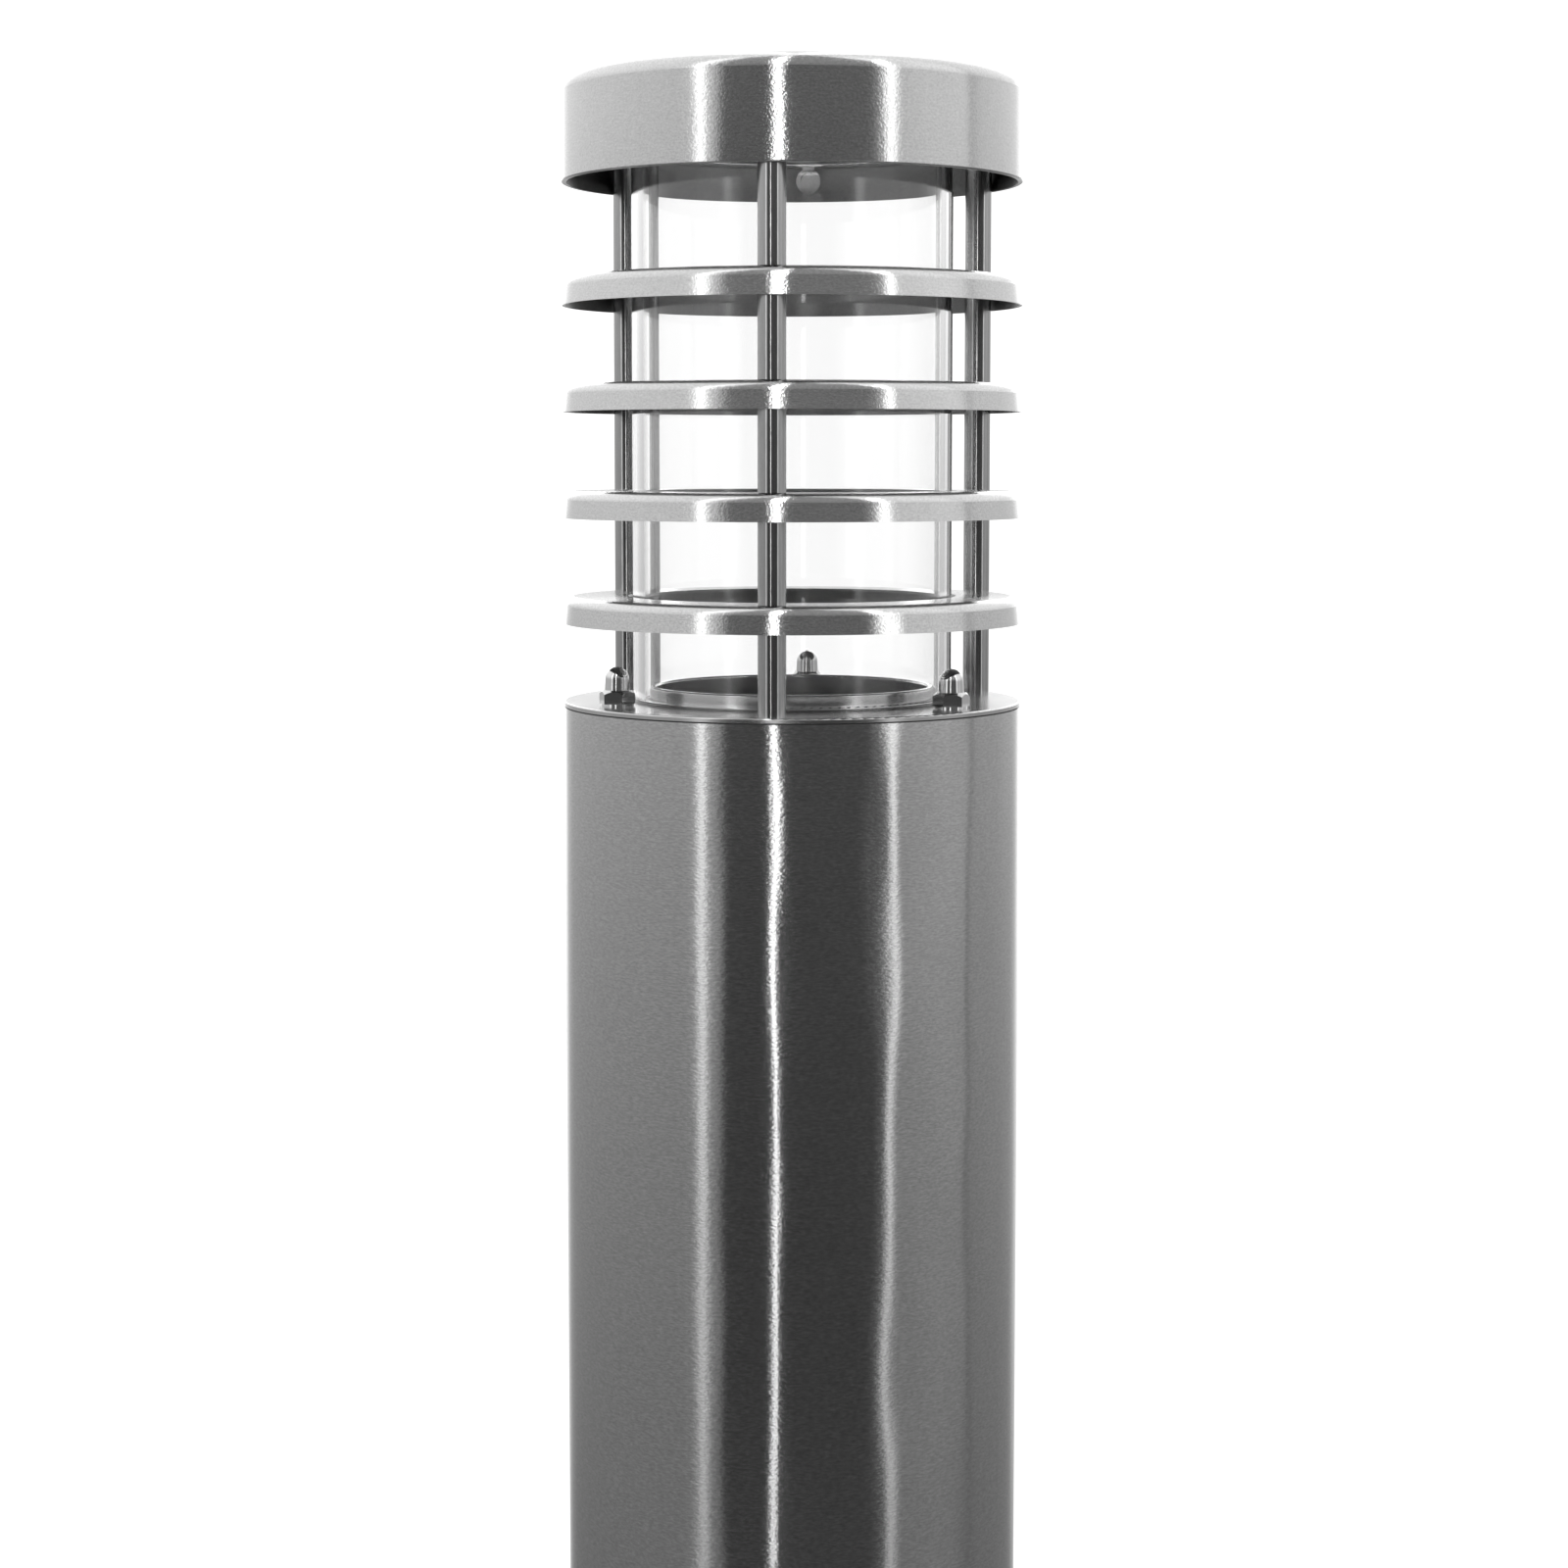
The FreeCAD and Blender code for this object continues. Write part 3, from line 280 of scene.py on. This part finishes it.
def moulded(name, base, roughness, scale):
    """An opaque moulded or glazed material with a little mottling and a fine grain. roughness is
    its least and most; scale is how close the mottling stands."""
    material, shader, build = new_material(name)
    place = build.place()
    mottle = build.noise(place, scale=scale, detail=4.0)
    grain = build.noise(place, scale=scale * 8, detail=2.0)
    darker = [channel * 0.88 for channel in base]
    build.feed(shader, {
        "Base Color": build.ramp(mottle, [(0.3, darker), (0.7, base)]),
        "Roughness": build.span(mottle, *roughness),
        "Normal": build.bump(grain, MOULDED_GRAIN_HEIGHT),
    })
    return material


DRAWN = {
    "rod_steel": {"base": 0.44, "roughness": (0.12, 0.17), "grain": 2400.0, "smear": 0.9},
    "bright_fastener": {"base": 0.70, "roughness": (0.06, 0.12), "grain": 1800.0},
    "plain_steel": {"base": 0.52, "roughness": (0.30, 0.45), "grain": 900.0},
}
CLEAR = {
    "clear_diffuser": {"tint": 0.95, "roughness": 0.0},
    "clear_gasket": {"tint": 0.85, "roughness": 0.25},
}
MOULDED = {
    "black_rubber": {"base": (0.03, 0.03, 0.03), "roughness": (0.55, 0.75), "scale": 300.0},
    "ceramic": {"base": (0.86, 0.85, 0.80), "roughness": (0.08, 0.18), "scale": 120.0},
    "terminal_plastic": {"base": (0.80, 0.79, 0.74), "roughness": (0.38, 0.55), "scale": 200.0},
    "lead_brown": {"base": (0.20, 0.09, 0.04), "roughness": (0.35, 0.50), "scale": 400.0},
    "lead_blue": {"base": (0.05, 0.16, 0.50), "roughness": (0.35, 0.50), "scale": 400.0},
    "lead_green": {"base": (0.25, 0.50, 0.10), "roughness": (0.35, 0.50), "scale": 400.0},
}

finishes = {
    "brushed_steel": brushed_steel(),
    "polished_steel": polished_steel(),
    "brass": brass(),
}
for kind, table in ((drawn_steel, DRAWN), (clear_plastic, CLEAR), (moulded, MOULDED)):
    for slot, look in table.items():
        finishes[slot] = kind(slot, **look)

for part in frame["record"]["subparts"]:
    mesh = frame["nodes"][part["node"]].data
    mesh.materials.clear()
    mesh.materials.append(finishes[part["material_slot"]])

# ---------------------------------------------------------------- camera

# Millimetres for the lens and sensor; the sidestep is to the left of the line to the axis, and the
# shift is a share of the frame.
CAMERA_BEARING = math.radians(5.3)
CAMERA_DISTANCE = 0.670
CAMERA_HEIGHT = 0.5674
CAMERA_PITCH = math.radians(-5.32)
CAMERA_SIDESTEP = 0.0018
CAMERA_LENS = 68.9
CAMERA_SENSOR = 36.0
CAMERA_SHIFT = -0.03


def make_camera():
    """The camera at the photograph's viewpoint, level with the head. The small shift moves the frame
    down the post, as the photograph's crop does."""
    data = bpy.data.cameras.new("camera")
    data.lens = CAMERA_LENS
    data.sensor_width = CAMERA_SENSOR
    data.shift_y = CAMERA_SHIFT
    camera = bpy.data.objects.new("camera", data)
    scene.collection.objects.link(camera)
    sine = math.sin(CAMERA_BEARING)
    cosine = math.cos(CAMERA_BEARING)
    camera.location = (
        sine * CAMERA_DISTANCE - cosine * CAMERA_SIDESTEP,
        -cosine * CAMERA_DISTANCE - sine * CAMERA_SIDESTEP,
        CAMERA_HEIGHT,
    )
    camera.rotation_euler = (math.pi / 2 + CAMERA_PITCH, 0, CAMERA_BEARING)
    scene.camera = camera


# ---------------------------------------------------------------- studio

# What the steel reflects: brightness by compass bearing in degrees from the camera's side of the
# post, at the level of the head. Two soft strips and one narrow bright one stand in a dark front,
# with pale screens at the sides, white ones behind, and a dim ceiling and ground.
STUDIO = [
    (-180, 0.45), (-175, 0.5), (-171, 1.5), (-165, 1.05), (-156, 0.60), (-146, 0.46), (-56, 0.355),
    (-51, 0.42), (-48, 1.1), (-46, 1.2), (-43.5, 0.42), (-38, 0.28), (-34.5, 0.06), (-10.6, 0.05),
    (-10.2, 2.6), (-8.3, 2.6), (-7.9, 0.055), (38, 0.06), (44.5, 0.14), (47.5, 0.80), (49.5, 1.25),
    (51.5, 0.80), (54.5, 0.36), (84, 0.43), (96, 0.42), (99.5, 0.26), (103, 0.36), (132, 0.42),
    (148, 0.48), (158, 0.70), (171, 1.5), (175, 0.5),
]
BRIGHTEST = 2.6
WHITE_ROOM = 1.2

# The cards grow brighter upwards and dimmer downwards from the head's level, between two limits.
FADE_PER_RADIAN = 3.3
HEAD_ELEVATION = math.radians(-6.4)
DIMMEST_FADE = 0.36
BRIGHTEST_FADE = 2.3

# What the ceiling and the ground add to that.
CEILING = 0.22
CEILING_FROM = math.radians(9)
CEILING_TO = math.radians(20)
GROUND = 0.25
GROUND_FROM = math.radians(-24)
GROUND_TO = math.radians(-42)

# Two lamps high in front: bearing from the camera's side, elevation, width, height, power in watts.
LAMPS = {
    "key_lamp": (-8.8, 40.0, 0.09, 0.60, 4.5),
    "side_lamp": (49.5, 40.0, 0.10, 0.40, 2.4),
}
LAMP_DISTANCE = 2.0
HEAD_LEVEL = 0.56

FLOOR_RADIUS = 6.0


def make_world():
    """Studio surroundings: the cards above for anything mirrored, plain white for the rest."""
    world = bpy.data.worlds.new("studio")
    world.use_nodes = True
    scene.world = world
    build = Shader(world.node_tree)
    build.nodes.clear()
    direction = build.add("ShaderNodeTexCoord").outputs["Generated"]
    parts = build.add("ShaderNodeSeparateXYZ", {0: direction}).outputs
    backwards = build.maths("MULTIPLY", parts["Y"], -1.0)
    bearing = build.maths("ARCTAN2", parts["X"], backwards)
    bearing = build.maths("SUBTRACT", bearing, CAMERA_BEARING)
    turn = build.maths("DIVIDE", bearing, 2 * math.pi)
    turn = build.maths("FRACT", build.maths("ADD", turn, 1.5))
    stops = [((degrees + 180) / 360, level / BRIGHTEST) for degrees, level in STUDIO]
    cards = build.ramp(turn, stops)
    elevation = build.maths("ARCSINE", parts["Z"])
    above_head = build.maths("SUBTRACT", elevation, HEAD_ELEVATION)
    fade = build.maths("EXPONENT", build.maths("MULTIPLY", above_head, FADE_PER_RADIAN))
    fade = build.maths("MINIMUM", build.maths("MAXIMUM", fade, DIMMEST_FADE), BRIGHTEST_FADE)
    strength = build.maths("MULTIPLY", fade, BRIGHTEST)
    screens = build.add("ShaderNodeBackground", {"Color": cards, "Strength": strength}).outputs[0]
    ceiling = build.span(elevation, 0.0, CEILING, CEILING_FROM, CEILING_TO)
    ground = build.span(elevation, 0.0, GROUND, GROUND_FROM, GROUND_TO)
    dim = build.maths("ADD", ceiling, ground)
    dim = build.add("ShaderNodeBackground", {"Color": colour(1.0), "Strength": dim}).outputs[0]
    mirrored = build.add("ShaderNodeAddShader", {0: screens, 1: dim})
    plain = build.add("ShaderNodeBackground", {"Color": colour(1.0), "Strength": WHITE_ROOM})
    bounces = build.add("ShaderNodeLightPath").outputs["Glossy Depth"]
    inputs = {0: build.maths("MINIMUM", bounces, 1.0), 1: plain.outputs[0], 2: mirrored.outputs[0]}
    mixed = build.add("ShaderNodeMixShader", inputs)
    build.add("ShaderNodeOutputWorld", {"Surface": mixed.outputs[0]})


def make_floor():
    """A wide pale floor that the steel doesn't mirror, so it reflects only the studio."""
    bpy.ops.mesh.primitive_circle_add(vertices=128, radius=FLOOR_RADIUS, fill_type="NGON")
    floor = bpy.context.object
    floor.name = "floor"
    material, shader, build = new_material("floor")
    clouds = build.noise(build.place(), scale=3.0, detail=3.0)
    build.feed(shader, {
        "Base Color": build.ramp(clouds, [(0.2, 0.84), (0.8, 0.88)]),
        "Roughness": 0.8,
    })
    floor.data.materials.append(material)
    floor.visible_glossy = False


def make_lamps():
    """The two lamps, each facing the head."""
    for name, (bearing, elevation, width, height, watts) in LAMPS.items():
        data = bpy.data.lights.new(name, "AREA")
        data.shape = "ELLIPSE"
        data.size = width
        data.size_y = height
        data.energy = watts
        light = bpy.data.objects.new(name, data)
        around = CAMERA_BEARING + math.radians(bearing)
        rise = math.radians(elevation)
        level = LAMP_DISTANCE * math.cos(rise)
        light.location = (
            level * math.sin(around),
            -level * math.cos(around),
            HEAD_LEVEL + LAMP_DISTANCE * math.sin(rise),
        )
        light.rotation_euler = (math.pi / 2 - rise, 0, around)
        light.visible_camera = False
        scene.collection.objects.link(light)


make_camera()
make_world()
make_floor()
make_lamps()
scene.view_settings.view_transform = "Standard"
